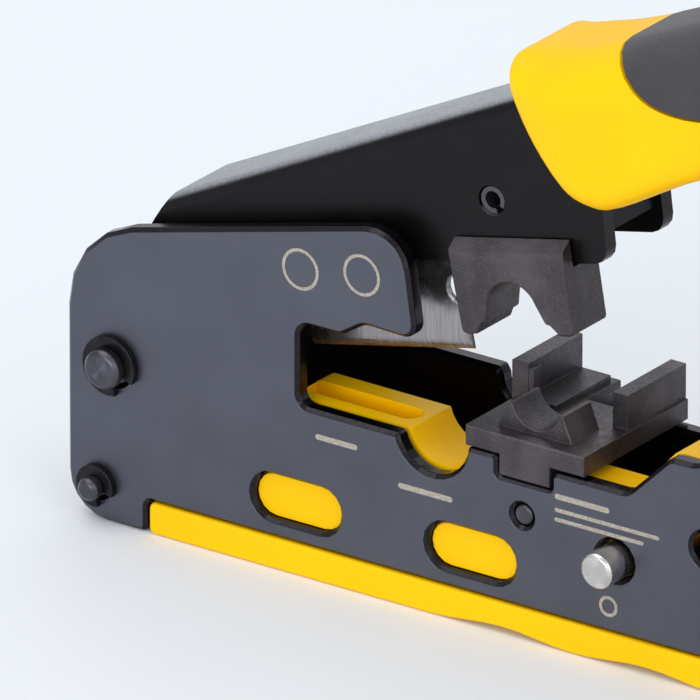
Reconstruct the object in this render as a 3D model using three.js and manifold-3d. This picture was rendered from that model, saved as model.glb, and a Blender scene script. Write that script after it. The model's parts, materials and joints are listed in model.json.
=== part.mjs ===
// A hand crimping tool for network cable: two steel side plates with a plastic core and lower
// grip, and a steel channel lever that pivots at the nose and carries a blade, a clip die, a plug
// punch and the upper grip.
//
// Frame: millimetres, +X from the nose to the grips, +Y from the near side plate to the far one,
// +Z up. Lengths below are measured from the pivot axis (x = z = 0) and the mid-plane (y = 0).
// The whole tool is then shifted so that the origin is the middle of its flat sole.
// The lever is drawn as it stands with the jaws closed, and its group is turned open.
import * as THREE from 'three';
import { mergeVertices } from 'three/addons/utils/BufferGeometryUtils.js';
import Module from 'manifold-3d';

const wasm = await Module();
wasm.setup();

// ---- driving dimensions ------------------------------------------------------------------------
const OPEN_DEG = 12.4;            // how far the lever stands open
const HALF_WIDTH = 10.7;          // mid-plane to the outer face of a side plate
const PLATE = 2.4;                // side plate thickness
const PLATE_IN = HALF_WIDTH - PLATE;
const CHANNEL_HALF = 6.75;        // mid-plane to the outer face of the lever's channel
const CHANNEL_WALL = 2;
const CHANNEL_IN = CHANNEL_HALF - CHANNEL_WALL;
const GRIP_HALF = 11;             // half the width of both grips
const SOLE_Z = -20.3;             // lowest line of the tool
const SOLE_TOP = -16.2;           // lower edge of the side plates behind the nose
const SOLE_MIDDLE_X = 25;         // middle of the sole's flat stretch
const GAP = 0.3;                  // between pieces that move or are cut by one another
const FIT = 0.1;                  // between pieces that rest against one another
const PIVOT_R = 2.5;
const NOSE_PIN = { x: -2.1, z: -15.75, r: 1.45 };
const NOTCH_X = 26.5;             // blind end of the cable cutting notch
const NOTCH_FLOOR = 1.3;
const REAR_FLOOR = 3.3;             // the far plate stands higher beside the notch
const CRADLE = { x: 45.5, z: 2.4, r: 5, rear: 3.4 };   // round seat of the cable stripper
const DIE_X = 58.8;               // middle of the clip crimping dies
const DIE_HALF = 8.1;
const DIE_LEFT = DIE_X - 8.6;     // sides of the lower die
const DIE_RIGHT = DIE_X + DIE_HALF;
const DIE_BASE_TOP = 4.85;
const DIE_BASE_BOTTOM = 2.3;
const DIE_PIN = { x: 58.3, z: -4.6, r: 1.3 };
const LOCK_PIN = { x: 71.3, z: -7, r: 2.2 };
const ACCESS_HOLE = { x: 84.2, z: -2.4, r: 2.15 };
const PLUG_X = 96;                // middle of the modular plug nest
const PLUG_HALF = 6;
const NEST_FLOOR = 0.5;
const PLATE_END = 118;            // where the side plates end and the lower grip begins
const SLOT_Z = -11.2;             // middle of the two oval windows
const SLOT_X = [26.2, 51];
const FINGER_PITCH = 20.2;        // between the crests under the lower grip
const FINGER_DEPTH = 0.8;
const ROLL_PIN = { x: 56.8, z: 20.1, r: 1.7 };
const BLADE = { left: 24.7, right: 48, edge: 0.8, top: 16, y: -4.45, thickness: 1 };

// ---- materials ---------------------------------------------------------------------------------
const finish = (color, roughness, metalness) =>
  new THREE.MeshStandardMaterial({ color, roughness, metalness });
const PLATE_STEEL = finish(0x5c5e67, 0.45, 0.8);
const LEVER_STEEL = finish(0x262428, 0.5, 0.6);
const DIE_STEEL = finish(0x45424a, 0.65, 0.6);
const PIN_STEEL = finish(0x35343a, 0.35, 0.9);
const BRIGHT_STEEL = finish(0xc9c7c4, 0.25, 1);
const YELLOW = finish(0xfed002, 0.4, 0);
const GREY_PAD = finish(0x4a444a, 0.85, 0);

// ---- outlines in the side view (x to the right, z up) -------------------------------------------
const point = (x, z) => new THREE.Vector2(x, z);

// Points along an arc, in degrees, ends included.
function arc(x, z, r, from, to, steps) {
  return Array.from({ length: steps + 1 }, (_, i) => {
    const angle = THREE.MathUtils.degToRad(from + ((to - from) * i) / steps);
    return [x + r * Math.cos(angle), z + r * Math.sin(angle)];
  });
}

const LEAST_CHORD = 0.4;

// A closed outline from corners [x, z, radius], each rounded by an arc of short chords.
function rounded(corners, chordDeg = 30) {
  const outline = [];
  corners.forEach(([x, z, radius = 0], i) => {
    const here = point(x, z);
    const before = corners.at(i - 1);
    const after = corners[(i + 1) % corners.length];
    const back = point(before[0], before[1]).sub(here);
    const ahead = point(after[0], after[1]).sub(here);
    const limit = 0.48 * Math.min(back.length(), ahead.length());
    back.normalize();
    ahead.normalize();
    const half = Math.acos(THREE.MathUtils.clamp(back.dot(ahead), -1, 1)) / 2;
    const tangent = Math.min(radius / Math.tan(half), limit);
    if (tangent < 0.02 || half > 1.55) {
      outline.push(here);
      return;
    }
    const r = tangent * Math.tan(half);
    const centre = back.clone().add(ahead).normalize()
      .multiplyScalar(r / Math.sin(half)).add(here);
    const start = back.clone().multiplyScalar(tangent).add(here).sub(centre);
    const end = ahead.clone().multiplyScalar(tangent).add(here).sub(centre);
    const turn = Math.atan2(start.cross(end), start.dot(end));
    const chords = Math.min(Math.abs(THREE.MathUtils.radToDeg(turn)) / chordDeg,
      (r * Math.abs(turn)) / LEAST_CHORD);
    const steps = Math.max(1, Math.round(chords));
    for (let k = 0; k <= steps; k += 1) {
      outline.push(start.clone().rotateAround(point(0, 0), (turn * k) / steps).add(centre));
    }
  });
  return outline;
}

const circle = (x, z, r, steps = 16) =>
  arc(x, z, r, 0, 360 - 360 / steps, steps - 1).map(([a, b]) => point(a, b));

const rectangle = (x0, z0, x1, z1) => [point(x0, z0), point(x1, z0), point(x1, z1), point(x0, z1)];

// An oval window: half circles of radius r whose centres are 2 * half apart.
function oval(x, z, half, r) {
  const right = arc(x + half, z, r, -90, 90, 8);
  const left = arc(x - half, z, r, 90, 270, 8);
  return [...right, ...left].map(([a, b]) => point(a, b));
}

// Points of a smooth curve through the given [x, z] places.
const smooth = (places, steps) =>
  new THREE.SplineCurve(places.map(([x, z]) => point(x, z))).getPoints(steps)
    .map((p) => [p.x, p.y]);

// ---- solids -------------------------------------------------------------------------------------
// An outline in the side view, extruded between two depths, with its edges bevelled inwards.
function slab(outline, yNear, yFar, { bevel = 0, segments = 1, holes = [] } = {}) {
  const shape = new THREE.Shape(outline);
  shape.holes = holes.map((hole) => new THREE.Path(hole));
  const geometry = new THREE.ExtrudeGeometry(shape, {
    depth: yFar - yNear - 2 * bevel,
    bevelEnabled: bevel > 0,
    bevelThickness: bevel,
    bevelSize: bevel,
    bevelOffset: -bevel,
    bevelSegments: segments,
  });
  return geometry.rotateX(Math.PI / 2).translate(0, yFar - bevel, 0);
}

// A turned piece on an axis along Y: profile points are [radius, y], from one end to the other.
function turned(profile, x, z, steps = 20) {
  const points = profile.map(([r, y]) => new THREE.Vector2(r, y));
  return new THREE.LatheGeometry(points, steps).translate(x, 0, z);
}

function toSolid(geometry) {
  const bare = geometry.clone();
  ['normal', 'uv'].forEach((name) => bare.deleteAttribute(name));
  const merged = mergeVertices(bare, 1e-4);
  const solid = new wasm.Manifold(new wasm.Mesh({
    numProp: 3,
    vertProperties: merged.attributes.position.array,
    triVerts: new Uint32Array(merged.index.array),
  }));
  return solid;
}

function toGeometry(solid) {
  const mesh = solid.getMesh();
  const geometry = new THREE.BufferGeometry();
  geometry.setAttribute('position', new THREE.BufferAttribute(mesh.vertProperties, 3));
  geometry.setIndex(new THREE.BufferAttribute(mesh.triVerts, 1));
  geometry.computeVertexNormals();
  return geometry;
}

const box = (x0, x1, y0, y1, z0, z1) => toSolid(slab(rectangle(x0, z0, x1, z1), y0, y1));
const drum = (x, z, r, y0, y1, steps = 16) => toSolid(slab(circle(x, z, r, steps), y0, y1));

const frame = new THREE.Group();
const lever = new THREE.Group();

function piece(group, name, shape, material) {
  const geometry = shape.isBufferGeometry ? shape : toGeometry(shape);
  const mesh = new THREE.Mesh(geometry, material);
  mesh.name = name;
  group.add(mesh);
  return mesh;
}

// ---- side plates --------------------------------------------------------------------------------
const NOSE_TOP_SLOPE = Math.tan(THREE.MathUtils.degToRad(14));
const noseTop = (x) => 18.4 + NOSE_TOP_SLOPE * (x - 5.1);

// The stripping seat, from its right lip down and round to its left lip.
function cradleArc(r, right, left, steps) {
  const start = THREE.MathUtils.radToDeg(Math.asin((right - CRADLE.z) / r));
  const end = -180 - THREE.MathUtils.radToDeg(Math.asin((left - CRADLE.z) / r));
  return arc(CRADLE.x, CRADLE.z, r, start, end, steps);
}

const PLATE_LEFT = -6.6;

function plateOutline(floor, seat) {
  return rounded([
    [PLATE_LEFT, SOLE_Z, 5.5], [4.7, SOLE_Z, 0.8], [4.7, SOLE_TOP, 0.8],
    [PLATE_END, SOLE_TOP, 1.2], [PLATE_END, 3.2, 3], [112.5, 6.4, 4], [106, 13.5, 2.5],
    [PLUG_X + PLUG_HALF, 13.5, 0.8], [PLUG_X + PLUG_HALF, NEST_FLOOR, 0.6],
    [PLUG_X - PLUG_HALF, NEST_FLOOR, 0.6], [PLUG_X - PLUG_HALF, 13.5, 0.8],
    [88.4, 13.5, 1.6], [83, 7.8, 3], [79, 7.8, 1.6], [73, 1.9, 2],
    [62.3, 1.9, 0.8], [62.3, -0.4, 0.4], [54.7, -0.4, 0.4], [54.7, 2.1, 0.8],
    ...cradleArc(seat, 2.1, Math.min(floor, CRADLE.z), 12).map(([x, z]) => [x, z, 0.5]),
    [CRADLE.x - seat - 0.5, floor, 0.6], [NOTCH_X, floor, 1.5],
    [NOTCH_X, 11.65, 1.6], [32.6, 11.65, 1.5], [35.8, 13.7, 2],
    [43.35, 13.45, 1.8], [41.3, noseTop(41.3), 5.2], [PLATE_LEFT, noseTop(PLATE_LEFT), 12],
  ], 18);
}

const FRAME_RIVETS = [[99, -11.2], [113, -9.5], [113, 1.2]];

function sidePlate(yNear, outline, lockHole) {
  const holes = [
    circle(0, 0, PIVOT_R + FIT, 20),
    circle(NOSE_PIN.x, NOSE_PIN.z, NOSE_PIN.r + FIT),
    circle(DIE_PIN.x, DIE_PIN.z, DIE_PIN.r + FIT),
    circle(LOCK_PIN.x, LOCK_PIN.z, lockHole),
    circle(ACCESS_HOLE.x, ACCESS_HOLE.z, ACCESS_HOLE.r),
    ...SLOT_X.map((x) => oval(x, SLOT_Z, 3.4, 2.8)),
    ...FRAME_RIVETS.map(([x, z]) => circle(x, z, 1.6, 12)),
  ];
  return slab(outline, yNear, yNear + PLATE, { bevel: 0.5, holes });
}

const LOCK_SHANK_R = 1.5;
const frontOutline = plateOutline(NOTCH_FLOOR, CRADLE.r);
const rearOutline = plateOutline(REAR_FLOOR, CRADLE.rear);
piece(frame, 'front_plate', sidePlate(-HALF_WIDTH, frontOutline, LOCK_PIN.r + 0.3), PLATE_STEEL);
piece(frame, 'rear_plate', sidePlate(PLATE_IN, rearOutline, LOCK_SHANK_R + 0.2), PLATE_STEEL);

// ---- nose pins and their clips ------------------------------------------------------------------
// A straight pin through both plates with chamfered ends and a clip groove near each.
function grooved(r, reach, groove, x, z, steps) {
  const inGroove = HALF_WIDTH + FIT;
  const outGroove = inGroove + groove + FIT;
  const side = [
    [0, reach], [r - 0.5, reach], [r, reach - 0.5], [r, outGroove], [r - 0.5, outGroove],
    [r - 0.5, inGroove], [r, inGroove],
  ];
  const profile = [...side.map(([a, y]) => [a, -y]), ...side.reverse()];
  return turned(profile, x, z, steps);
}

// A spring clip: an open ring with its mouth turned down and to the right.
function openRing(x, z, inner, outer, mouthDeg, turnDeg) {
  const from = turnDeg + mouthDeg / 2;
  const to = turnDeg + 360 - mouthDeg / 2;
  const ring = [...arc(x, z, outer, from, to, 18), ...arc(x, z, inner, to, from, 14)];
  return ring.map(([a, b]) => point(a, b));
}

const CLIP = 0.9;
const clipStarts = { front: -HALF_WIDTH - FIT - CLIP, rear: HALF_WIDTH + FIT };
piece(frame, 'pivot_pin', grooved(PIVOT_R, HALF_WIDTH + 2.7, CLIP, 0, 0, 24), PIN_STEEL);
piece(frame, 'nose_pin',
  grooved(NOSE_PIN.r, HALF_WIDTH + 2.7, CLIP, NOSE_PIN.x, NOSE_PIN.z, 16), PIN_STEEL);
Object.entries(clipStarts).forEach(([side, y]) => {
  const pivotRing = openRing(0, 0, PIVOT_R - 0.4, 3.75, 50, -50);
  piece(frame, `pivot_clip_${side}`, slab(pivotRing, y, y + CLIP), PIN_STEEL);
  const noseRing = openRing(NOSE_PIN.x, NOSE_PIN.z, NOSE_PIN.r - 0.4, 2.65, 60, -50);
  piece(frame, `nose_clip_${side}`, slab(noseRing, y, y + CLIP), PIN_STEEL);
});
const WASHER_IN = CHANNEL_HALF + GAP;
const washer = { front: [-PLATE_IN + FIT, -WASHER_IN], rear: [WASHER_IN, PLATE_IN - FIT] };
Object.entries(washer).forEach(([side, [y0, y1]]) => {
  const ring = slab(circle(0, 0, 4.6, 20), y0, y1, { holes: [circle(0, 0, PIVOT_R + FIT, 20)] });
  piece(frame, `pivot_washer_${side}`, ring, BRIGHT_STEEL);
});
const spacerHole = circle(NOSE_PIN.x, NOSE_PIN.z, NOSE_PIN.r + FIT);
piece(frame, 'nose_spacer',
  slab(circle(NOSE_PIN.x, NOSE_PIN.z, 2.9, 18), -PLATE_IN + FIT, PLATE_IN - FIT,
    { holes: [spacerHole] }), PIN_STEEL);

// ---- lower grip and core, in two halves that meet at the mid-plane ------------------------------
// Height of the sole's lower line: flat under the nose half, then waved for the fingers.
function soleLine(x) {
  const start = SOLE_MIDDLE_X + FINGER_PITCH;
  if (x < start) return SOLE_Z;
  return SOLE_Z + (FINGER_DEPTH / 2) * (1 - Math.cos((2 * Math.PI * (x - start)) / FINGER_PITCH));
}

const waves = (from, to, step) => {
  const count = Math.round((to - from) / step);
  return Array.from({ length: count + 1 }, (_, i) => {
    const x = from + ((to - from) * i) / count;
    return [x, soleLine(x)];
  });
};

const GRIP_START = PLATE_END + GAP;
const GRIP_LINE_END = 166.4;
const LOWER_END = 191;

// Side view of the full-width part of the lower grip, drawn smaller all round by inset.
function lowerGripOutline(inset) {
  const start = GRIP_START + inset;
  const under = waves(start, GRIP_LINE_END, 2.5).map(([x, z]) => [x, z + inset]);
  const over = smooth([[178, -2.4], [162, 0.9], [145, 3], [128, 3.9], [start, 3.1]], 8)
    .map(([x, z]) => [x, z - inset]);
  return rounded([
    ...under, [176, -19.4 + inset],
    [LOWER_END - inset, -17.2 + inset, 6 - inset], [LOWER_END - inset, -4.9 - inset, 6 - inset],
    ...over,
  ]);
}

// Side view of the core between the plates.
function coreOutline() {
  const top = NOTCH_FLOOR - FIT;
  const lip = top - 0.1;
  const dieTang = { left: 54.6, right: 62.4, floor: -7.9 };
  return rounded([
    [9, SOLE_TOP], [GRIP_START + 6, SOLE_TOP], [GRIP_START + 6, 2.4], [113, 3.6], [107.5, 10.8, 2],
    [105.9, 10.8], [105.9, -6.4], [86.1, -6.4], [86.1, 10.4, 0.6], [83, 7.5, 2], [78.2, 7.5, 0.8],
    [77, 6.2], [73, 1.2, 1], [dieTang.right, 1.2], [dieTang.right, dieTang.floor],
    [dieTang.left, dieTang.floor], [dieTang.left, 1.2],
    ...cradleArc(CRADLE.r - 0.1, lip, lip, 12),
    [23.3, top, 1], [23.3, -6.8, 1], [9, -6.8, 2],
  ]);
}

const lowerSkin = (inset, half) => toSolid(
  slab(lowerGripOutline(inset), -half, half, { bevel: 4 - inset, segments: 2 }));

// The soft pad wraps the underside of the lower grip.
const LOWER_PAD = { left: 127, right: 183, top: -10.5, depth: 2.4 };
function lowerPadZone(grow) {
  const { left, right, top } = LOWER_PAD;
  return toSolid(slab(rounded([
    [left - grow, -30], [right + grow, -30], [right + grow, top + grow - 2, 6],
    [right - 12, top + grow, 8], [left + 10, top + grow, 8], [left - grow, top - 3 + grow, 6],
  ]), -20, 20));
}

const gripCore = lowerSkin(LOWER_PAD.depth, GRIP_HALF - LOWER_PAD.depth);
const lowerGripBody = lowerSkin(0, GRIP_HALF)
  .subtract(lowerPadZone(GAP).subtract(gripCore));

const soleOutline = rounded([
  ...waves(5.05, PLATE_END, 2.5).map(([x, z], i) => [x, z, i === 0 ? 0.8 : 0]),
  [PLATE_END, SOLE_TOP - FIT], [5.05, SOLE_TOP - FIT, 0.8],
]);
piece(frame, 'lower_sole', slab(soleOutline, -HALF_WIDTH, HALF_WIDTH, { bevel: 0.3 }), YELLOW);
const core = toSolid(slab(coreOutline(), -PLATE_IN + GAP, PLATE_IN - GAP));
const windowFill = SLOT_X.map((x) => toSolid(
  slab(oval(x, SLOT_Z, 3.4, 2.8 - 0.12), -HALF_WIDTH + 1.1, HALF_WIDTH - 1.1)));
const coreHoles = [
  drum(DIE_PIN.x, DIE_PIN.z, DIE_PIN.r + 0.2, -20, 20),
  drum(LOCK_PIN.x, LOCK_PIN.z, LOCK_PIN.r + 0.3, -20, 20),
  drum(ACCESS_HOLE.x, ACCESS_HOLE.z, ACCESS_HOLE.r + 0.3, -20, 20),
  ...FRAME_RIVETS.map(([x, z]) => drum(x, z, 1.7, -20, 20, 12)),
];
const whole = windowFill.reduce((body, part) => body.add(part), core).add(lowerGripBody);
const drilled = coreHoles.reduce((body, hole) => body.subtract(hole), whole);

const SPLIT = 0.1;
const bladeGroove = box(BLADE.left - 1.2, 38, -6.2, -2.75, -2, 10)
  .add(toSolid(new THREE.CylinderGeometry(1.725, 1.725, 12, 20).rotateX(Math.PI / 2)
    .translate(38, -4.475, 4)));
const frontShell = drilled
  .subtract(box(-10, 200, -SPLIT, 30, -40, 40))
  .subtract(bladeGroove)
  .subtract(box(54.5, 77, -3.7, 5, -13.4, 10));
const rearShell = drilled
  .subtract(box(-10, 200, -30, SPLIT, -40, 40))
  .subtract(box(-10, 77, -5, 6, -14.6, 40))
  .subtract(box(-10, 77, 5, PLATE_IN, -7.6, 40))
  .subtract(drum(LOCK_PIN.x, LOCK_PIN.z, 3.3, 0, 9));
piece(frame, 'lower_shell_front', frontShell, YELLOW);
piece(frame, 'lower_shell_rear', rearShell, YELLOW);

const lowerPad = lowerSkin(-0.05, GRIP_HALF + 0.05)
  .intersect(lowerPadZone(0))
  .subtract(lowerSkin(LOWER_PAD.depth - GAP, GRIP_HALF - LOWER_PAD.depth + GAP))
  .subtract(box(100, 200, -20, 20, -30, SOLE_Z + 0.02));
piece(frame, 'lower_grip_pad', lowerPad, GREY_PAD);

// ---- lower clip die: base, walls, saddle and the tang held by its pin ---------------------------
const WALL_FRONT = -1.2;
const SADDLE = { near: -8.4, far: -2.7, r: 3.4, x: DIE_X - 0.25, centre: 8.8, top: 8 };
const SADDLE_LEFT = { foot: DIE_X - 5.5, top: DIE_X - 4.05 };
const SADDLE_RIGHT = { foot: DIE_X + 4.9, top: DIE_X + 3.6 };
const baseOutline = rounded([
  [DIE_LEFT, DIE_BASE_BOTTOM], [54.95, DIE_BASE_BOTTOM], [54.95, -0.25], [62.05, -0.25],
  [62.05, DIE_BASE_BOTTOM], [DIE_RIGHT, DIE_BASE_BOTTOM], [DIE_RIGHT, DIE_BASE_TOP],
  [DIE_LEFT, DIE_BASE_TOP],
]);
const saddleOutline = rounded([
  [SADDLE_LEFT.foot, DIE_BASE_TOP - 0.5], [SADDLE_RIGHT.foot, DIE_BASE_TOP - 0.5],
  [SADDLE_RIGHT.foot, DIE_BASE_TOP], [SADDLE_RIGHT.top, SADDLE.top],
  ...arc(SADDLE.x, SADDLE.centre, SADDLE.r, -13.6, -166.4, 10), [SADDLE_LEFT.top, SADDLE.top],
  [SADDLE_LEFT.foot, DIE_BASE_TOP],
]);
const lowerDie = toSolid(slab(baseOutline, -HALF_WIDTH, HALF_WIDTH, { bevel: 0.2 }))
  .add(toSolid(slab(saddleOutline, SADDLE.near, SADDLE.far, { bevel: 0.12 })))
  .add(box(DIE_LEFT, DIE_LEFT + 2.3, WALL_FRONT, 9.8, 4, 9.75))
  .add(box(DIE_LEFT + 0.2, DIE_LEFT + 3, WALL_FRONT + 0.1, 0.4, 4, 9.2))
  .add(box(DIE_RIGHT - 2.5, DIE_RIGHT - 0.35, WALL_FRONT, HALF_WIDTH - 0.1, 4, 9.2))
  .add(box(DIE_LEFT + 2, DIE_X - 2.1, -1.7, 9.5, 4, 5.65))
  .add(box(55.2, 61.4, -3.2, 3.2, -7.4, 3))
  .subtract(box(DIE_X - 1.5, DIE_RIGHT - 2.5, 3.6, 20, 1.9, 10))
  .subtract(drum(DIE_PIN.x, DIE_PIN.z, DIE_PIN.r + FIT, -20, 20));
piece(frame, 'lower_clip_die', lowerDie, DIE_STEEL);

const dieRod = HALF_WIDTH - 0.25;
piece(frame, 'lower_die_pin', turned([
  [0, -dieRod], [DIE_PIN.r - 0.25, -dieRod], [DIE_PIN.r, -dieRod + 0.25],
  [DIE_PIN.r, dieRod - 0.25], [DIE_PIN.r - 0.25, dieRod], [0, dieRod],
], DIE_PIN.x, DIE_PIN.z, 16), PIN_STEEL);

// ---- modular plug nest --------------------------------------------------------------------------
const NEST = { near: -8.1, far: 3.9, top: 12.6, bottom: -6 };
const nestOutline = rounded([
  [86.5, NEST.bottom], [105.5, NEST.bottom], [105.5, NEST.top, 0.8],
  [PLUG_X + PLUG_HALF, NEST.top, 1], [PLUG_X + PLUG_HALF, NEST_FLOOR + FIT],
  [PLUG_X - PLUG_HALF, NEST_FLOOR + FIT], [PLUG_X - PLUG_HALF, NEST.top, 1],
  [86.5, NEST.top, 0.8],
]);
const latchGroove = box(PLUG_X - 1.7, PLUG_X + 1.7, -20, 20, -1.6, 2);
piece(frame, 'plug_nest',
  toSolid(slab(nestOutline, NEST.near, NEST.far)).subtract(latchGroove), DIE_STEEL);

// ---- frame rivets -------------------------------------------------------------------------------
FRAME_RIVETS.forEach(([x, z], i) => {
  const face = HALF_WIDTH + 0.05;
  const head = [[0, face + 0.8], [1.6, face + 0.7], [2.6, face + 0.3], [2.7, face], [1.5, face]];
  const profile = [...head.map(([r, y]) => [r, -y]), ...head.reverse()];
  piece(frame, `frame_rivet_${i + 1}`, turned(profile, x, z, 14), PIN_STEEL);
});

// ---- lock pin, its collar and its spring --------------------------------------------------------
const LOCK_OUT = HALF_WIDTH + 3.9;
const COLLAR = { near: -3.5, far: -2.8 };
piece(frame, 'lock_pin', turned([
  [0, -LOCK_OUT], [LOCK_PIN.r - 0.35, -LOCK_OUT], [LOCK_PIN.r, -LOCK_OUT + 0.35],
  [LOCK_PIN.r, -4.4], [LOCK_SHANK_R, -4.2], [LOCK_SHANK_R, COLLAR.near - FIT],
  [1.1, COLLAR.near - FIT], [1.1, COLLAR.far + FIT], [LOCK_SHANK_R, COLLAR.far + FIT],
  [LOCK_SHANK_R, 9.3], [LOCK_SHANK_R - 0.3, 9.6], [0, 9.6],
], LOCK_PIN.x, LOCK_PIN.z, 20), BRIGHT_STEEL);
const collar = openRing(LOCK_PIN.x, LOCK_PIN.z, 1.2, 3.1, 60, 90);
piece(frame, 'lock_pin_collar', slab(collar, COLLAR.near, COLLAR.far), PIN_STEEL);

class Coil extends THREE.Curve {
  constructor(x, z, r, y0, y1, turns, startDeg, legs) {
    super();
    Object.assign(this, { x, z, r, y0, y1, turns, startDeg, legs });
  }

  getPoint(t, target = new THREE.Vector3()) {
    const { first = 0, last = 0 } = this.legs;
    const winding = 2 * Math.PI * this.r * this.turns;
    const along = t * (first + winding + last) - first;
    const wound = THREE.MathUtils.clamp(along, 0, winding);
    const angle = THREE.MathUtils.degToRad(this.startDeg) + wound / this.r;
    const over = along - wound;
    const y = this.y0 + ((this.y1 - this.y0) * wound) / winding;
    return target.set(
      this.x + this.r * Math.cos(angle) - over * Math.sin(angle), y,
      this.z + this.r * Math.sin(angle) + over * Math.cos(angle));
  }
}

function wire(curve, r, steps, sides = 6) {
  const section = new THREE.Shape(circle(0, 0, r, sides));
  return new THREE.ExtrudeGeometry(section, { steps, bevelEnabled: false, extrudePath: curve });
}

piece(frame, 'lock_pin_spring',
  wire(new Coil(LOCK_PIN.x, LOCK_PIN.z, 2.4, -2.3, 7.8, 6, 0, {}), 0.35, 66), BRIGHT_STEEL);

// ---- return spring round the pivot: one leg under the lever's top, one on the core --------------
const SPRING = { r: 3.7, wire: 0.55, half: 3.4, turns: 5.328, start: 129.6 };
const springLegs = { first: 23.6, last: 14.5 };
const springCoil = new Coil(
  0, 0, SPRING.r, -SPRING.half, SPRING.half, SPRING.turns, SPRING.start, springLegs);
piece(lever, 'return_spring', wire(springCoil, SPRING.wire, 110), PIN_STEEL);

// ---- lever channel ------------------------------------------------------------------------------
const LEVER_LEFT = 9.6;
const LEVER_TOP = 19.55;
const leverTop = (x) => LEVER_TOP + NOSE_TOP_SLOPE * (x - LEVER_LEFT);
const leverBack = (drop) => smooth(
  [[130, 38.7 - drop], [110, 39.4 - drop], [95, 38.8 - drop], [80, leverTop(80) - drop]], 9);

const leverOutline = rounded([
  ...arc(0, 0, 5.2, 150, 300, 9), [17.2, 1.8, 3], [25.2, 12.7, 3], [71.9, 12.7, 2],
  [72.7, 21.6, 2], [90, 25.9, 5], [106, 27.6, 5], [130, 27.8, 1],
  ...leverBack(0), [LEVER_LEFT, LEVER_TOP, 0.3], [5.4, 15, 0.8],
]);
const leverInside = rounded([
  [-12, -12], [150, -12], [150, 37.4], ...leverBack(CHANNEL_WALL),
  [LEVER_LEFT, LEVER_TOP - CHANNEL_WALL], [-12, LEVER_TOP - CHANNEL_WALL - 5.5],
]);

// What the folded steel leaves away outside its bend along one top edge.
function bendCorner(side) {
  const r = 1.9;
  const edge = CHANNEL_HALF;
  const round = Array.from({ length: 5 }, (_, i) => {
    const angle = (i * Math.PI) / 8;
    return new THREE.Vector2(edge - r + r * Math.cos(angle), -r + r * Math.sin(angle));
  });
  const corner = [...round, new THREE.Vector2(edge - r, 1), new THREE.Vector2(edge + 1, 1),
    new THREE.Vector2(edge + 1, -r)];
  const shape = new THREE.Shape(corner.map((p) => new THREE.Vector2(side * p.x, p.y)));
  const prism = new THREE.ExtrudeGeometry(shape, { depth: 90, bevelEnabled: false });
  const turn = new THREE.Matrix4().makeBasis(
    new THREE.Vector3(0, 1, 0), new THREE.Vector3(0, 0, 1), new THREE.Vector3(1, 0, 0));
  prism.applyMatrix4(turn).translate(-12, 0, 0).rotateY(THREE.MathUtils.degToRad(-14))
    .translate(LEVER_LEFT, 0, LEVER_TOP);
  return toSolid(prism);
}

const HANDLE_PINS = [[112, 30], [125, 30]];
const BLADE_SCREWS = [[30, 14], [43, 14]];
const leverHoles = [
  drum(0, 0, PIVOT_R + FIT, -20, 20, 20),
  drum(ROLL_PIN.x, ROLL_PIN.z, ROLL_PIN.r + 0.15, -20, 20, 18),
  ...HANDLE_PINS.map(([x, z]) => drum(x, z, 1.6, -20, 20, 12)),
  ...BLADE_SCREWS.map(([x, z]) => drum(x, z, 1.5, 0, 20, 12)),
];
const channelBody = toSolid(slab(leverOutline, -CHANNEL_HALF, CHANNEL_HALF))
  .subtract(toSolid(slab(leverInside, -CHANNEL_IN, CHANNEL_IN)))
  .subtract(bendCorner(1))
  .subtract(bendCorner(-1))
  .add(box(69.4, 71.4, -CHANNEL_IN - 0.2, CHANNEL_IN + 0.2, 16, 33.5));
piece(lever, 'lever_channel',
  leverHoles.reduce((body, hole) => body.subtract(hole), channelBody), LEVER_STEEL);

// ---- cable blade and the block that holds it ----------------------------------------------------
// A flat blade with a half-round notch in each end and its cutting edge ground from the near side.
function cableBlade() {
  const { left, right, edge, top, y, thickness } = BLADE;
  const outline = [
    [left, edge], [right, edge],
    ...arc(right, 8.3, 2, -90, -270, 8), [right, top], [left, top],
    ...arc(left, 8.3, 2, 90, -90, 8),
  ].map(([x, z]) => point(x, z));
  const grind = new THREE.Shape([
    new THREE.Vector2(y - 1, edge - 1), new THREE.Vector2(y + thickness * 0.85, edge - 0.05),
    new THREE.Vector2(y, edge + 1.5), new THREE.Vector2(y - 1, edge + 1.5)]);
  const turn = new THREE.Matrix4().makeBasis(
    new THREE.Vector3(0, 1, 0), new THREE.Vector3(0, 0, 1), new THREE.Vector3(1, 0, 0));
  const wedge = new THREE.ExtrudeGeometry(grind, { depth: 40, bevelEnabled: false })
    .applyMatrix4(turn).translate(left - 5, 0, 0);
  return toSolid(slab(outline, y, y + thickness)).subtract(toSolid(wedge));
}
piece(lever, 'cable_blade', cableBlade(), BRIGHT_STEEL);

const HOLDER_NEAR = BLADE.y + BLADE.thickness + FIT;
const holderHoles = BLADE_SCREWS.map(([x, z]) => drum(x, z, 1.35, 0, 20, 12));
piece(lever, 'blade_holder',
  holderHoles.reduce((body, hole) => body.subtract(hole),
    toSolid(slab(rounded([[26, 11.4, 1], [47.6, 11.4, 1], [47.6, 16.6, 1], [26, 16.6, 1]]),
      HOLDER_NEAR, CHANNEL_IN - FIT))), DIE_STEEL);
BLADE_SCREWS.forEach(([x, z], i) => {
  const seat = CHANNEL_HALF + 0.05;
  piece(lever, `blade_screw_${i + 1}`, turned([
    [0, 0.6], [1.2, 0.6], [1.2, seat], [2.3, seat], [2.3, seat + 0.8], [1.9, seat + 1.1],
    [0, seat + 1.1],
  ], x, z, 14), PIN_STEEL);
});

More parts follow.
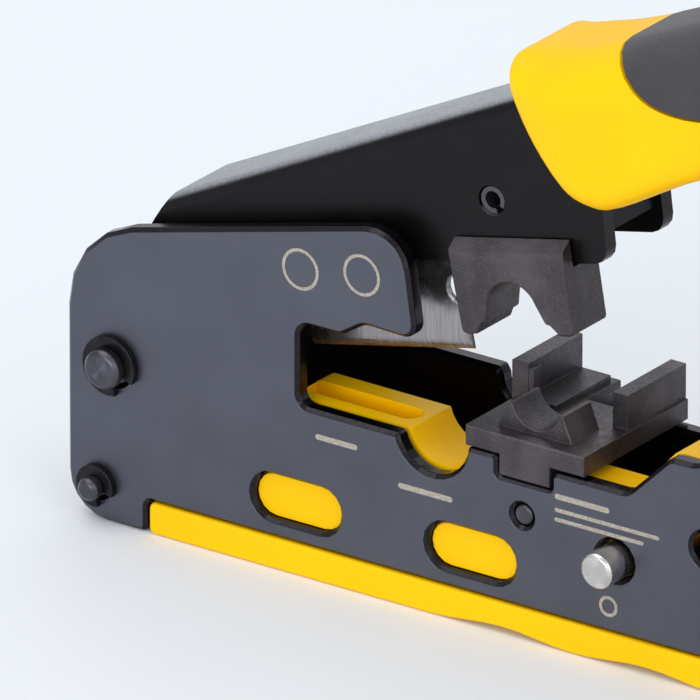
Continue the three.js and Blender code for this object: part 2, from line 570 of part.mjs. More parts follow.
// ---- upper clip die -----------------------------------------------------------------------------
const UPPER_DIE = { near: -9, far: -2, foot: 4.45, top: 14.5, shoulder: 12.4, left: 50.7 };
function upperDieOutline(top) {
  const { left, foot } = UPPER_DIE;
  return rounded([
    [left, foot, 0.6], [DIE_X - 5.9, foot, 0.35], [DIE_X - 5.1, 5.7, 0.3], [DIE_X - 4.4, 5.85, 0.3],
    ...arc(DIE_X - 0.3, 7.3, 3.5, 165, 15, 12),
    [DIE_X + 4.1, 5.85, 0.3], [DIE_X + 4.7, 5.7, 0.3], [DIE_X + 5.9, foot, 0.35],
    [66.8, foot, 0.6], [67.3, top, 0.8], [left, top, 0.8],
  ], 24);
}
const dieNose = new THREE.Shape([
  new THREE.Vector2(UPPER_DIE.near - 1, UPPER_DIE.top), new THREE.Vector2(UPPER_DIE.near, UPPER_DIE.top),
  new THREE.Vector2(-CHANNEL_HALF, UPPER_DIE.top + 1.4), new THREE.Vector2(-CHANNEL_HALF, 20),
  new THREE.Vector2(UPPER_DIE.near - 1, 20)]);
const dieNoseCut = new THREE.ExtrudeGeometry(dieNose, { depth: 30, bevelEnabled: false })
  .applyMatrix4(new THREE.Matrix4().makeBasis(
    new THREE.Vector3(0, 1, 0), new THREE.Vector3(0, 0, 1), new THREE.Vector3(1, 0, 0)))
  .translate(45, 0, 0);
const upperDie = toSolid(slab(upperDieOutline(16.4), UPPER_DIE.near, UPPER_DIE.far, { bevel: 0.25 }))
  .subtract(toSolid(dieNoseCut))
  .subtract(box(40, 80, -CHANNEL_HALF - GAP, 5, UPPER_DIE.shoulder, 25))
  .add(box(52.6, 61.6, -CHANNEL_IN + GAP, CHANNEL_IN - GAP, 11.4, 24))
  .subtract(drum(ROLL_PIN.x, ROLL_PIN.z, ROLL_PIN.r + 0.1, -20, 20, 18));
piece(lever, 'upper_clip_die', upperDie, DIE_STEEL);

const rollRing = openRing(ROLL_PIN.x, ROLL_PIN.z, 1.05, ROLL_PIN.r, 36, -60);
piece(lever, 'die_roll_pin', slab(rollRing, -CHANNEL_HALF + 0.2, CHANNEL_HALF - 0.2), PIN_STEEL);

// ---- plug punch and trimming blade --------------------------------------------------------------
const PUNCH = { left: 91.4, right: 101.4, bottom: 7.4, top: 33.5 };
const TOOTH_PITCH = 1.02;
let punch = box(PUNCH.left, PUNCH.right, -CHANNEL_IN + GAP, CHANNEL_IN - GAP, PUNCH.bottom, PUNCH.top);
for (let i = 0; i < 8; i += 1) {
  const x = PLUG_X + (i - 3.5) * TOOTH_PITCH;
  punch = punch.add(box(x - 0.25, x + 0.25, -3.8, -0.8, PUNCH.bottom - 1.4, PUNCH.bottom + 0.5));
}
const PUNCH_SCREWS = [[93.6, 19], [99.2, 19]];
punch = PUNCH_SCREWS.reduce((body, [x, z]) => body.subtract(drum(x, z, 1, 1, 20, 12)), punch);
piece(lever, 'plug_punch', punch, DIE_STEEL);

const TRIM_Y = CHANNEL_IN - GAP + FIT;
const trimOutline = rounded([
  [PUNCH.left, 5.4], [PUNCH.right, 5.4], [PUNCH.right, 22.6, 1], [PUNCH.left, 22.6, 1]]);
const trimHoles = PUNCH_SCREWS.map(([x, z]) => circle(x, z, 1.1, 12));
piece(lever, 'trim_blade', slab(trimOutline, TRIM_Y, TRIM_Y + 0.8, { holes: trimHoles }),
  BRIGHT_STEEL);
PUNCH_SCREWS.forEach(([x, z], i) => {
  const seat = TRIM_Y + 0.9;
  piece(lever, `trim_screw_${i + 1}`, turned([
    [0, 1.6], [0.9, 1.6], [0.9, seat], [1.8, seat], [1.8, seat + 0.6], [1.4, seat + 0.9],
    [0, seat + 0.9],
  ], x, z, 12), PIN_STEEL);
});

// ---- upper grip ---------------------------------------------------------------------------------
// Rows of [x, lowest z, highest z, half width] along the upper grip.
const UPPER_ROWS = [
  [62.8, 33, 37, 6.9], [63.4, 32.5, 37.7, 7.9], [64.2, 31.1, 38.1, 8.8], [65.4, 28.8, 38.3, 9.6],
  [67, 26, 38.35, 10.2], [68.6, 23.6, 38.35, 10.6], [69.8, 22, 38.4, 10.8],
  [71.2, 20.85, 38.45, 10.95], [73, 20.1, 38.6, GRIP_HALF], [75, 19.85, 38.85, GRIP_HALF],
  [78.2, 20.6, 39.35, GRIP_HALF], [83.5, 22.3, 40.4, GRIP_HALF], [90, 24, 41.75, GRIP_HALF],
  [100, 25.3, 43, GRIP_HALF], [112, 26, 43.5, GRIP_HALF], [128, 25.6, 42.9, GRIP_HALF],
  [145, 23.6, 40.7, GRIP_HALF], [163, 19.8, 37.2, GRIP_HALF], [176, 16.4, 34, 10.9],
  [185, 14.4, 31.2, 10.4], [189.5, 14.6, 29, 9.4], [192, 16.2, 26.8, 7.6], [193, 18.6, 24.4, 5.4],
];

// A ring of points round one slice of the grip: wide curves above, tighter ones below.
function gripSection([x, low, high, half], aboveR, belowR) {
  const above = Math.min(aboveR, 0.6 * (high - low), 0.9 * half);
  const below = Math.min(belowR, 0.38 * (high - low), 0.9 * half);
  const right = [
    ...arc(half - below, low + below, below, -90, 0, 4),
    ...arc(half - above, high - above, above, 0, 90, 6),
  ];
  const left = right.map(([y, z]) => [-y, z]).reverse();
  return [...right, ...left].map(([y, z]) => new THREE.Vector3(x, y, z));
}

// The upper grip's full-width shape, drawn smaller all round by inset.
function upperSkin(inset) {
  const [start, end] = [UPPER_ROWS[0][0], UPPER_ROWS.at(-1)[0]];
  const narrowed = (x) => x + inset - (2 * inset * (x - start)) / (end - start);
  const heights = new THREE.CatmullRomCurve3(UPPER_ROWS.map(([x, low, high]) =>
    new THREE.Vector3(x, low + inset, high - inset)), false, 'catmullrom');
  const widths = new THREE.CatmullRomCurve3(UPPER_ROWS.map(([x, , , half]) =>
    new THREE.Vector3(x, half - inset, 0)), false, 'catmullrom');
  const steps = 2 * (UPPER_ROWS.length - 1);
  const acrossAll = widths.getPoints(steps);
  const rings = heights.getPoints(steps).map((p, i) =>
    gripSection([narrowed(p.x), p.y, p.z, acrossAll[i].y], 7 - inset, 3.2 - inset / 2));
  const round = rings[0].length;
  const index = [];
  rings.slice(1).forEach((ring, i) => {
    for (let k = 0; k < round; k += 1) {
      const [a, b] = [i * round + k, i * round + ((k + 1) % round)];
      index.push(a, b, a + round, b, b + round, a + round);
    }
  });
  const last = (rings.length - 1) * round;
  for (let k = 1; k < round - 1; k += 1) {
    index.push(0, k + 1, k, last, last + k, last + k + 1);
  }
  const skin = new THREE.BufferGeometry().setFromPoints(rings.flat());
  skin.setIndex(index);
  return toSolid(skin);
}

// The soft pad covers the back of the upper grip from a curved front edge to the end.
const UPPER_PAD = { depth: 2.4, low: 31.6 };
function upperPadZone(grow) {
  const edge = smooth([[78.5 - grow, 42], [79 - grow, 39.9], [80.6 - grow, 38.3 - grow],
    [82.5 - grow, 36.2 - grow], [85.5 - grow, 33.7 - grow], [90 - grow, 32.2 - grow],
    [97, UPPER_PAD.low - grow]], 18);
  return toSolid(slab(rounded([
    [78.4 - grow, 60], ...edge, [140, UPPER_PAD.low - grow, 12], [172, 25 - grow, 8],
    [186 + grow, 24 - grow, 4], [186 + grow, 60],
  ]), -20, 20));
}

const leverRoom = toSolid(slab(rounded([
  [60, 8], [106, 8], [106, 27], [130.6, 27.2], [130.6, 39.2], [110, 39.9], [95, 39.3],
  [80, leverTop(80) + 0.4], [60, leverTop(60) + 0.4],
]), -CHANNEL_HALF - GAP, CHANNEL_HALF + GAP));
const upperCore = upperSkin(UPPER_PAD.depth);
let upperGrip = upperSkin(0)
  .subtract(upperPadZone(GAP).subtract(upperCore))
  .subtract(leverRoom);
upperGrip = HANDLE_PINS.reduce((body, [x, z]) => body.subtract(drum(x, z, 1.6, -20, 20, 12)),
  upperGrip);
piece(lever, 'upper_grip', upperGrip, YELLOW);

const upperPad = upperSkin(-0.05)
  .intersect(upperPadZone(0))
  .subtract(upperSkin(UPPER_PAD.depth - GAP))
  .subtract(leverRoom);
piece(lever, 'upper_grip_pad', upperPad, GREY_PAD);

HANDLE_PINS.forEach(([x, z], i) => {
  const end = GRIP_HALF - 0.3;
  piece(lever, `handle_pin_${i + 1}`, turned([
    [0, -end], [1.2, -end], [1.5, -end + 0.3], [1.5, end - 0.3], [1.2, end], [0, end],
  ], x, z, 14), PIN_STEEL);
});

// ---- the whole tool -----------------------------------------------------------------------------
lever.rotation.y = THREE.MathUtils.degToRad(-OPEN_DEG);
const tool = new THREE.Group();
tool.add(frame, lever);
tool.position.set(-SOLE_MIDDLE_X, 0, -SOLE_Z);
const crimpingTool = new THREE.Group();
crimpingTool.add(tool);

export default crimpingTool;
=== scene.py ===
"""Looks of the crimping tool: materials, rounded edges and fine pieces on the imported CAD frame."""
import json
import math

import bpy
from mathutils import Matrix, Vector


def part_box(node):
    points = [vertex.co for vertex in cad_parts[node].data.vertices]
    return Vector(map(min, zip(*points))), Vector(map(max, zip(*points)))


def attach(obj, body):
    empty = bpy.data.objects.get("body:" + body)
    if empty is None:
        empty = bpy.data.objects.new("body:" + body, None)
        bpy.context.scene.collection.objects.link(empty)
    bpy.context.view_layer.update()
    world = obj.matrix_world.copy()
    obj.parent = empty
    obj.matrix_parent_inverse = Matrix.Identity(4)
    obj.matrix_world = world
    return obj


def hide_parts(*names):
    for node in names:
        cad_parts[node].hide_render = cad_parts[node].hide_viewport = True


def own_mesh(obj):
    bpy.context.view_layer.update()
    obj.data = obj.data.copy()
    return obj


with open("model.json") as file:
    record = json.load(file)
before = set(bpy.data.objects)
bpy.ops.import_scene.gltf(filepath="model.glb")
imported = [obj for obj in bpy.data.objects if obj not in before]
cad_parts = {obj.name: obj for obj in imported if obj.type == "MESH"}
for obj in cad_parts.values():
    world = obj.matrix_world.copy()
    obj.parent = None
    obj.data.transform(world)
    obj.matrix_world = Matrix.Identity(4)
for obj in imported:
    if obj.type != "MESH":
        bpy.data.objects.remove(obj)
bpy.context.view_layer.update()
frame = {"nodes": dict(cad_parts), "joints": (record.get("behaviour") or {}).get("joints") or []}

MM = 0.001
NODES = frame["nodes"]
HINGE = Vector(next(j["pos_m"] for j in frame["joints"] if j["name"] == "lever_hinge"))


def add_mesh(name, places, faces, material, smooth=False):
    """A new object of one material, from its corners and faces."""
    mesh = bpy.data.meshes.new(name)
    mesh.from_pydata(places, [], faces)
    if smooth:
        mesh.shade_smooth()
    mesh.materials.append(material)
    return add_object(name, mesh)


def add_object(name, data):
    obj = bpy.data.objects.new(name, data)
    bpy.context.scene.collection.objects.link(obj)
    return obj


# ---- materials ----------------------------------------------------------------------------------

# The Mix node repeats its socket names for each data type, so its colour sockets go by number.
MIX_FACTOR, MIX_A, MIX_B, MIX_RESULT = 0, 6, 7, 2


def srgb(r, g, b):
    """A linear colour from 0..255 display values."""
    def linear(v):
        v /= 255
        return v / 12.92 if v <= 0.04045 else ((v + 0.055) / 1.055) ** 2.4
    return (linear(r), linear(g), linear(b), 1.0)


class Nodes:
    """Short calls for building one material's node tree."""

    def __init__(self, name):
        self.material = bpy.data.materials.new(name)
        self.material.use_nodes = True
        self.tree = self.material.node_tree
        self.shader = self.tree.nodes["Principled BSDF"]
        self.place = self.tree.nodes.new("ShaderNodeTexCoord").outputs["Object"]
        self.normal = self.place.node.outputs["Normal"]

    def add(self, kind, inputs=None, **settings):
        """A new node; each input takes a value, or a link where the value is a socket."""
        node = self.tree.nodes.new(kind)
        for key, value in settings.items():
            setattr(node, key, value)
        for key, value in (inputs or {}).items():
            if isinstance(value, bpy.types.NodeSocket):
                self.tree.links.new(value, node.inputs[key])
            else:
                node.inputs[key].default_value = value
        return node

    def link(self, source, key):
        """Drives one of the shader's inputs with a socket."""
        self.tree.links.new(source, self.shader.inputs[key])

    def fix(self, key, value):
        """Gives one of the shader's inputs the same value all over."""
        self.shader.inputs[key].default_value = value

    def stretched(self, sx, sy, sz):
        """The place with each axis scaled; a texture is longer where the scale is small."""
        node = self.add("ShaderNodeMapping", {"Vector": self.place, "Scale": (sx, sy, sz)})
        return node.outputs["Vector"]

    def noise(self, scale, detail=4, rough=0.6, vector=None):
        node = self.add("ShaderNodeTexNoise", {
            "Vector": vector or self.place, "Scale": scale, "Detail": detail, "Roughness": rough})
        return node.outputs["Fac"]

    def ramp(self, value, low, high, to_low=0.0, to_high=1.0):
        """A smooth step from to_low, at or below low, to to_high."""
        node = self.add("ShaderNodeMapRange", {
            "Value": value, "From Min": low, "From Max": high,
            "To Min": to_low, "To Max": to_high}, interpolation_type="SMOOTHSTEP")
        return node.outputs["Result"]

    def math(self, operation, a, b=0.0):
        node = self.add("ShaderNodeMath", {0: a, 1: b}, operation=operation)
        return node.outputs[0]

    def mix(self, factor, a, b):
        """Colour a where the factor is 0, and colour b where it is 1."""
        node = self.add("ShaderNodeMix", {MIX_FACTOR: factor, MIX_A: a, MIX_B: b},
                        data_type="RGBA")
        return node.outputs[MIX_RESULT]

    def bump(self, height, distance_mm, strength=1.0, before=None):
        inputs = {"Height": height, "Distance": distance_mm * MM, "Strength": strength}
        if before:
            inputs["Normal"] = before
        return self.add("ShaderNodeBump", inputs).outputs["Normal"]

    def facing(self, axis):
        """How far the surface faces along X, Y or Z of the tool, from -1 to 1."""
        return self.add("ShaderNodeSeparateXYZ", {0: self.normal}).outputs[axis]

    def sideways(self, low, high):
        """1 where the surface faces away from the tool's own Y, 0 on its flat sides."""
        return self.ramp(self.math("ABSOLUTE", self.facing("Y")), high, low)


def darker(colour, factor):
    """The colour times a factor, which is above 1 to make it lighter."""
    return (*(c * factor for c in colour[:3]), 1.0)


# Painted shade: the near-black painted on a plate's side that faces the other plate, where shade
# falls between the plates.
PAINTED_SHADE_BLACK = srgb(14, 12, 12)


def steel_oxide(name, colour, edge, roughness=0.4, edge_roughness=0.2, metallic=0.9,
                grain=0.01, edge_metallic=0.9, painted_lit_top=False, inner=0):
    """Satin dark-oxide steel. Its rims have their own colour and gloss. With the top flag set, only
    its faces that point up have them instead, as a painted highlight.
    inner is the sign of Y on the side painted near-black as painted shade, or 0 where no side is."""
    m = Nodes(name)
    cloud = m.noise(90, 5, 0.55)
    fine = m.noise(2600, 3, 0.7)
    scratch = m.noise(420, 4, 0.75, m.stretched(0.06, 1, 1.9))
    wear = m.ramp(scratch, 0.66, 0.8)
    face = m.mix(m.ramp(cloud, 0.3, 0.72), darker(colour, 0.92), darker(colour, 1.08))
    face = m.mix(m.math("MULTIPLY", wear, 0.14), face, darker(colour, 1.7))
    rim = m.mix(m.ramp(fine, 0.35, 0.7), darker(edge, 0.8), darker(edge, 1.25))
    # With the top flag set, faces that point up take the pale rim colour and gloss, a painted
    # highlight.
    side = m.ramp(m.facing("Z"), 0.45, 0.85) if painted_lit_top else m.sideways(0.8, 0.985)
    base = m.mix(side, face, rim)
    # Painted shade: the plate's side that faces into the gap between the plates is painted
    # near-black.
    if inner:
        painted_shade = m.ramp(m.math("MULTIPLY", m.facing("Y"), inner), 0.5, 0.9)
        base = m.mix(painted_shade, base, PAINTED_SHADE_BLACK)
    m.link(base, "Base Color")
    rough = m.math("ADD", m.ramp(cloud, 0.3, 0.7, -0.04, 0.06), roughness)
    m.link(m.math("ADD", rough, m.math("MULTIPLY", side, edge_roughness - roughness)), "Roughness")
    m.link(m.math("ADD", m.math("MULTIPLY", side, edge_metallic - metallic), metallic), "Metallic")
    height = m.math("ADD", m.math("MULTIPLY", fine, 0.6), m.math("MULTIPLY", cloud, 0.4))
    m.link(m.bump(height, grain), "Normal")
    return m.material


def pitted_steel(name, colour, roughness=0.42):
    """Sintered die steel: near-black, finely wrinkled, with bright specks where it is rubbed."""
    m = Nodes(name)
    cloud = m.noise(160, 5, 0.6)
    grain = m.noise(2600, 4, 0.75)
    speck = m.noise(4200, 2, 0.9)
    pits = m.add("ShaderNodeTexVoronoi", {"Vector": m.place, "Scale": 1500.0}).outputs["Distance"]
    base = m.mix(m.ramp(cloud, 0.32, 0.7), darker(colour, 0.72), darker(colour, 1.25))
    base = m.mix(m.ramp(speck, 0.6, 0.72, 0.0, 0.45), base, darker(colour, 4.0))
    m.link(base, "Base Color")
    m.link(m.ramp(grain, 0.3, 0.7, roughness - 0.12, roughness + 0.14), "Roughness")
    m.fix("Metallic", 0.75)
    normal = m.bump(grain, 0.05, 0.9)
    m.link(m.bump(m.ramp(pits, 0.1, 0.32), 0.02, 0.6, normal), "Normal")
    return m.material


FACING_PITCH = 0.36 * MM                    # between the turned grooves of a pin's end face
FACING_RIM = (1.25 * MM, 1.45 * MM)         # the radii between which those grooves fade out


def turned_steel(name, colour, roughness, metallic=0.9, rings=0.004, axis_of=None):
    """Lathe-turned steel with fine rings along it.
    Where axis_of names a pin along Y, grooves centred on its axis mark its end faces too."""
    m = Nodes(name)
    cloud = m.noise(420, 4, 0.6)
    ring = m.noise(5200, 2, 0.6, m.stretched(0.12, 1, 0.12))
    m.link(m.mix(m.ramp(cloud, 0.3, 0.7), darker(colour, 0.82), darker(colour, 1.12)), "Base Color")
    m.link(m.ramp(cloud, 0.3, 0.7, roughness - 0.06, roughness + 0.1), "Roughness")
    m.fix("Metallic", metallic)
    normal = m.bump(ring, rings)
    if axis_of:
        low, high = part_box(axis_of)
        centre = (low + high) / 2
        offset = m.add("ShaderNodeVectorMath", {0: m.place, 1: (centre.x, 0, centre.z)},
                       operation="SUBTRACT").outputs[0]
        flat = m.add("ShaderNodeVectorMath", {0: offset, 1: (1, 0, 1)},
                     operation="MULTIPLY").outputs[0]
        reach = m.add("ShaderNodeVectorMath", {0: flat}, operation="LENGTH").outputs["Value"]
        groove = m.math("SINE", m.math("MULTIPLY", reach, 2 * math.pi / FACING_PITCH))
        inside = m.ramp(reach, *FACING_RIM, 1.0, 0.0)
        normal = m.bump(m.math("MULTIPLY", groove, inside), 0.03, 1.0, normal)
    m.link(normal, "Normal")
    return m.material


def ground_steel(name, colour, roughness):
    """Bright ground steel with fine marks that run across the edge."""
    m = Nodes(name)
    marks = m.noise(2400, 3, 0.8, m.stretched(1, 0.3, 0.03))
    cloud = m.noise(260, 4, 0.6)
    m.link(m.mix(m.ramp(marks, 0.35, 0.66), darker(colour, 0.72), colour), "Base Color")
    m.link(m.ramp(cloud, 0.3, 0.7, roughness - 0.05, roughness + 0.12), "Roughness")
    m.fix("Metallic", 0.95)
    m.link(m.bump(marks, 0.005), "Normal")
    return m.material


def moulded_plastic(name, colour, roughness):
    """Smooth moulded plastic: slight sink-mark waves, fine texture and faint handling marks."""
    m = Nodes(name)
    wave = m.noise(45, 3, 0.5)
    fine = m.noise(3400, 3, 0.7)
    smear = m.noise(210, 5, 0.65)
    base = m.mix(m.ramp(wave, 0.3, 0.7), darker(colour, 0.965), darker(colour, 1.02))
    m.link(m.mix(m.ramp(smear, 0.66, 0.85, 0, 0.1), base, darker(colour, 0.8)), "Base Color")
    m.link(m.ramp(smear, 0.3, 0.75, roughness - 0.06, roughness + 0.1), "Roughness")
    m.fix("Specular IOR Level", 0.14)
    m.fix("Subsurface Weight", 0.03)
    m.fix("Subsurface Radius", (0.004, 0.002, 0.0004))
    m.fix("Subsurface Scale", 0.5)
    m.link(m.bump(m.math("ADD", m.math("MULTIPLY", wave, 2.0), fine), 0.006, 0.7), "Normal")
    return m.material


def soft_pad(name, colour):
    """Matt thermoplastic rubber with a fine spark-eroded texture."""
    m = Nodes(name)
    cloud = m.noise(130, 4, 0.6)
    grain = m.noise(2600, 4, 0.8)
    m.link(m.mix(m.ramp(cloud, 0.3, 0.7), darker(colour, 0.86), darker(colour, 1.12)), "Base Color")
    m.link(m.ramp(grain, 0.3, 0.7, 0.62, 0.8), "Roughness")
    m.fix("Sheen Weight", 0.15)
    m.link(m.bump(grain, 0.03, 0.8), "Normal")
    return m.material


def etched_mark():
    """Pale laser-etched oxide."""
    m = Nodes("mark_etched")
    speck = m.noise(5200, 4, 0.8)
    m.link(m.mix(m.ramp(speck, 0.35, 0.65), srgb(140, 132, 122), srgb(190, 181, 166)), "Base Color")
    m.link(m.ramp(speck, 0.3, 0.7, 0.55, 0.75), "Roughness")
    m.fix("Metallic", 0.2)
    m.link(m.bump(speck, 0.01, 0.8), "Normal")
    return m.material


# The plates' sides that face each other get the painted near-black shade.
PLATE = steel_oxide("plate_oxide", srgb(92, 94, 104), srgb(44, 42, 46), inner=1)
REAR = steel_oxide("rear_oxide", srgb(92, 94, 104), srgb(44, 42, 46), inner=-1)
# The lever's faces that point up are painted pale and glossy, a painted highlight.
LEVER = steel_oxide("lever_oxide", srgb(29, 27, 29), srgb(158, 160, 165),
                    roughness=0.34, edge_roughness=0.36, metallic=0.8,
                    grain=0.02, edge_metallic=0.75, painted_lit_top=True)
DIE = pitted_steel("die_sintered", srgb(78, 73, 77))
NEST = pitted_steel("nest_sintered", srgb(80, 77, 82), 0.5)
PIN = turned_steel("pin_black", srgb(84, 83, 90), 0.3, 0.85)
PIVOT = turned_steel("pivot_black", srgb(84, 83, 91), 0.26, axis_of="pivot_pin")
CLIP = turned_steel("clip_black", srgb(40, 38, 42), 0.25, 0.8)
NICKEL = turned_steel("pin_nickel", srgb(214, 211, 209), 0.26, 1.0, rings=0.006)
BLADE = ground_steel("blade_ground", srgb(168, 163, 165), 0.24)
SPRING_WIRE = turned_steel("spring_wire", srgb(120, 118, 120), 0.3)
YELLOW = moulded_plastic("grip_yellow", srgb(255, 197, 0), 0.42)
PAD = soft_pad("pad_grey", srgb(52, 49, 54))
ETCH = etched_mark()


# ---- CAD nodes that stay: welded, softened edges and smooth shading -----------------------------

WELD = 0.002 * MM                           # corners nearer than this are one corner
FLAT = math.radians(0.6)                    # faces that turn less than this are one flat face
SHARP = math.radians(32)                    # edges that turn more than this are rounded
ROUND_STEPS = 3                             # faces across a rounded edge
FLAT_WEIGHT = 60                            # how strongly large faces hold the shading flat


def soften(node, material, width_mm):
    """Keeps a CAD node's shape and gives it rounded edges, smooth shading and a material."""
    obj = NODES[node]
    obj.data.materials.clear()
    obj.data.materials.append(material)
    normals = obj.data.attributes.get("custom_normal")
    if normals:
        obj.data.attributes.remove(normals)
    obj.data.shade_smooth()
    weld = obj.modifiers.new("weld", "WELD")
    weld.merge_threshold = WELD
    flat = obj.modifiers.new("flat", "DECIMATE")
    flat.decimate_type = "DISSOLVE"
    flat.angle_limit = FLAT
    if width_mm:
        bevel = obj.modifiers.new("edge", "BEVEL")
        bevel.width = width_mm * MM
        bevel.segments = ROUND_STEPS
        bevel.limit_method = "ANGLE"
        bevel.angle_limit = SHARP
        bevel.use_clamp_overlap = True
        bevel.miter_outer = "MITER_ARC"
    shade = obj.modifiers.new("shade", "WEIGHTED_NORMAL")
    shade.mode = "FACE_AREA_WITH_ANGLE"
    shade.weight = FLAT_WEIGHT
    shade.keep_sharp = False


# Each material's nodes, with the width of their rounded edges in millimetres.
KEPT = {
    PLATE: (("front_plate", 0.3),),
    REAR: (("rear_plate", 0.3),),
    LEVER: (("lever_channel", 0.25),),
    DIE: (("lower_clip_die", 0.3), ("upper_clip_die", 0.25), ("blade_holder", 0.2),
          ("plug_punch", 0.12)),
    NEST: (("plug_nest", 0.2),),
    PIN: (("die_roll_pin", 0.1), ("nose_spacer", 0.1), ("blade_screw_1", 0.1),
          ("blade_screw_2", 0.1), ("trim_screw_1", 0.08), ("trim_screw_2", 0.08),
          ("nose_pin", 0.2), ("lower_die_pin", 0.1),
          ("frame_rivet_1", 0.1), ("frame_rivet_2", 0.1), ("frame_rivet_3", 0.1),
          ("handle_pin_1", 0.1), ("handle_pin_2", 0.1)),
    PIVOT: (("pivot_pin", 0.25),),
    CLIP: (("pivot_clip_front", 0.12), ("pivot_clip_rear", 0.12), ("nose_clip_front", 0.1),
           ("nose_clip_rear", 0.1), ("lock_pin_collar", 0.06)),
    NICKEL: (("lock_pin", 0.12), ("pivot_washer_front", 0.1), ("pivot_washer_rear", 0.1)),
    BLADE: (("cable_blade", 0.0), ("trim_blade", 0.03)),
    SPRING_WIRE: (("return_spring", 0.0),),
    YELLOW: (("lower_sole", 0.35), ("lower_shell_front", 0.35), ("lower_shell_rear", 0.35),
             ("upper_grip", 0.5)),
    PAD: (("upper_grip_pad", 0.4), ("lower_grip_pad", 0.4)),
}
for material, entries in KEPT.items():
    for name, width in entries:
        soften(name, material, width)


# ---- the lock pin's spring, a fine coil ---------------------------------------------------------

WIRE_RADIUS = 0.35 * MM
WIRE_SIDES = 10
SPRING_TURNS = 6
TURN_STEPS = 28


def lock_spring():
    """A round wire wound along Y inside the box of the CAD's plain spring, which it replaces."""
    low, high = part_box("lock_pin_spring")
    centre = (low + high) / 2
    coil = (high.x - low.x) / 2 - WIRE_RADIUS
    start, length = low.y + WIRE_RADIUS, high.y - low.y - 2 * WIRE_RADIUS
    steps, sides = TURN_STEPS * SPRING_TURNS, WIRE_SIDES
    places = []
    for i in range(steps + 1):
        turn = 2 * math.pi * SPRING_TURNS * i / steps
        outward = Vector((math.cos(turn), 0, math.sin(turn)))
        middle = Vector((centre.x, start + length * i / steps, centre.z)) + outward * coil
        for k in range(sides):
            a = 2 * math.pi * k / sides
            offset = outward * math.cos(a) + Vector((0, 1, 0)) * math.sin(a)
            places.append(middle + offset * WIRE_RADIUS)
    quads = [(i * sides + k, i * sides + (k + 1) % sides,
              (i + 1) * sides + (k + 1) % sides, (i + 1) * sides + k)
             for i in range(steps) for k in range(sides)]
    ends = [tuple(reversed(range(sides))), tuple(steps * sides + k for k in range(sides))]
    obj = add_mesh("lock_spring_coil", places, quads + ends, SPRING_WIRE, smooth=True)
    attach(obj, "frame")
    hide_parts("lock_pin_spring")
    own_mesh(obj)


lock_spring()


# ---- etched marks: plain rules and rings in place of the tool's markings ------------------------

PLATE_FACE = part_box("front_plate")[0].y
MARK_LIFT = 0.006 * MM                      # how far the marks stand off the plate
RING_STEPS = 48
RULE_END_STEPS = 6

# In millimetres, with places measured from the pivot axis: each ring's centre and radius, and each
# rule's two ends along X, its height and its thickness.
RING_THICK = 0.4
RINGS = ((26.9, 18.6, 2.6), (35.6, 20, 2.6), (70.5, -12.9, 1.3))
RULES = ((29, 35, -1.9, 0.7), (40.8, 48.5, -5.1, 0.7), (62.9, 70.6, -0.9, 0.7),
         (62.9, 77.6, -2.6, 0.5), (62.9, 75.4, -3.8, 0.5))


def on_plate(x, z):
    """A place just off the front plate's face, from millimetres measured from the pivot axis."""
    return Vector((HINGE.x + x * MM, PLATE_FACE - MARK_LIFT, HINGE.z + z * MM))


def mark(name, stroke):
    """A flat mark just off the front plate, from the pairs of places on the stroke's two sides."""
    places = [on_plate(*p) for pair in stroke for p in pair]
    quads = [(2 * i, 2 * i + 1, 2 * i + 3, 2 * i + 2) for i in range(len(stroke) - 1)]
    obj = add_mesh(name, places, quads, ETCH)
    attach(obj, "frame")


def rule(name, x0, x1, z, thick):
    """A plain straight stroke with round ends."""
    half = thick / 2
    steps = [i / RULE_END_STEPS * math.pi / 2 for i in range(RULE_END_STEPS + 1)]
    left = [(x0 + half * (1 - math.cos(a)), half * math.sin(a)) for a in steps]
    right = [(x1 - (x - x0), h) for x, h in reversed(left)]
    mark(name, [((x, z + h), (x, z - h)) for x, h in left + right])


def ring(name, x, z, radius):
    """A plain circular stroke."""
    turns = [2 * math.pi * i / RING_STEPS for i in range(RING_STEPS + 1)]
    inner = radius - RING_THICK
    mark(name, [((x + radius * math.cos(a), z + radius * math.sin(a)),
                 (x + inner * math.cos(a), z + inner * math.sin(a))) for a in turns])


for i, place in enumerate(RINGS):
    ring(f"mark_ring_{i + 1}", *place)
for i, place in enumerate(RULES):
    rule(f"mark_rule_{i + 1}", *place)


# ---- floor, light and camera --------------------------------------------------------------------

FLOOR_HALF = 6.0

# Each softbox's size in metres and power in watts, its place, and the place that it faces.
SOFTBOXES = {
    "key_softbox": ((0.9, 0.7), 3.2, (-0.35, -0.25, 0.95), (0.02, 0, 0.02)),
    "back_softbox": ((1.2, 0.5), 1.6, (-0.3, 0.9, 0.7), (0.02, 0, 0.03)),
    "front_softbox": ((0.9, 0.5), 4.2, (0.15, -1.0, 0.35), (0.02, 0, 0.02)),
    "side_softbox": ((0.5, 0.8), 1.6, (0.9, -0.5, 0.45), (0.03, 0, 0.03)),
}
SKY = (0.86, 0.895, 0.94, 1)
SKY_STRENGTH = 0.77

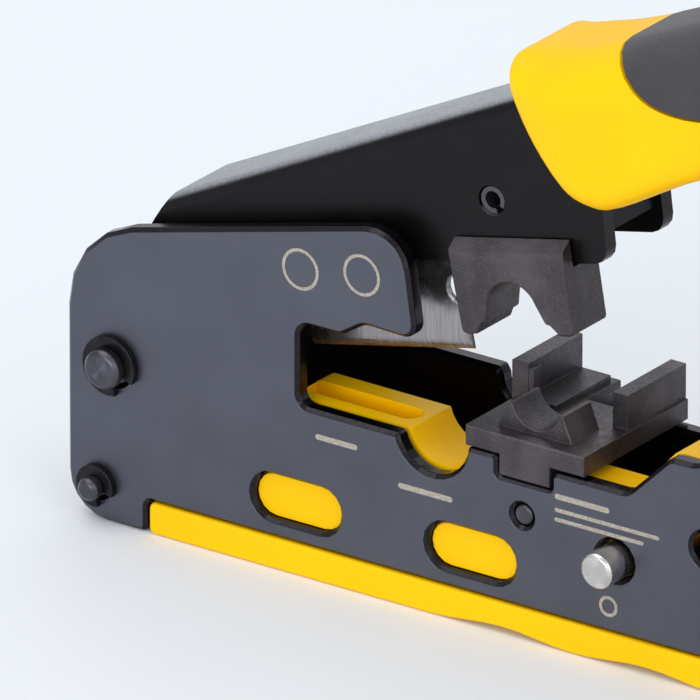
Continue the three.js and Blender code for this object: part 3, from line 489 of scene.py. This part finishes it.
AZIMUTH, ELEVATION = 35.4, 23.2             # degrees round from the front, and up
AIM = Vector((1.35, 0, 24.88)) * MM
DISTANCE = 3.0                              # far off, for the photo's near-parallel view
FRAME_POINTS = 700
SCALE = 8.599e3                             # points per metre at AIM, in a frame of FRAME_POINTS
SENSOR_MM = 36


def plain_material(name, colour, roughness):
    m = Nodes(name)
    m.link(m.mix(m.ramp(m.noise(3, 2), 0.3, 0.7), colour, darker(colour, 0.99)), "Base Color")
    m.fix("Roughness", roughness)
    m.fix("Specular IOR Level", 0.1)
    return m.material


def floor():
    h = FLOOR_HALF
    pale = plain_material("floor_pale", srgb(236, 239, 243), 0.75)
    obj = add_mesh("floor", [(-h, -h, 0), (h, -h, 0), (h, h, 0), (-h, h, 0)], [(0, 1, 2, 3)], pale)


def place_facing(obj, place, direction):
    """Puts a light or camera at a place, looking along a direction with Z up."""
    obj.location = place
    obj.rotation_mode = "QUATERNION"
    obj.rotation_quaternion = direction.to_track_quat("-Z", "Y")


def softbox(name, size, power, place, aim):
    light = bpy.data.lights.new(name, "AREA")
    light.shape = "RECTANGLE"
    light.size, light.size_y = size
    light.energy = power
    place_facing(add_object(name, light), place, Vector(aim) - Vector(place))


def studio():
    world = bpy.data.worlds.new("studio")
    world.use_nodes = True
    background = world.node_tree.nodes["Background"]
    background.inputs["Color"].default_value = SKY
    background.inputs["Strength"].default_value = SKY_STRENGTH
    bpy.context.scene.world = world
    for name, settings in SOFTBOXES.items():
        softbox(name, *settings)


def camera():
    a, e = math.radians(AZIMUTH), math.radians(ELEVATION)
    back = Vector((math.sin(a) * math.cos(e), -math.cos(a) * math.cos(e), math.sin(e)))
    data = bpy.data.cameras.new("camera")
    data.sensor_width = SENSOR_MM
    data.lens = SCALE * DISTANCE * SENSOR_MM / FRAME_POINTS
    data.clip_start, data.clip_end = 0.05, 20
    obj = add_object("camera", data)
    place_facing(obj, AIM + back * DISTANCE, -back)
    bpy.context.scene.camera = obj


floor()
studio()
camera()
bpy.context.scene.view_settings.view_transform = "Standard"
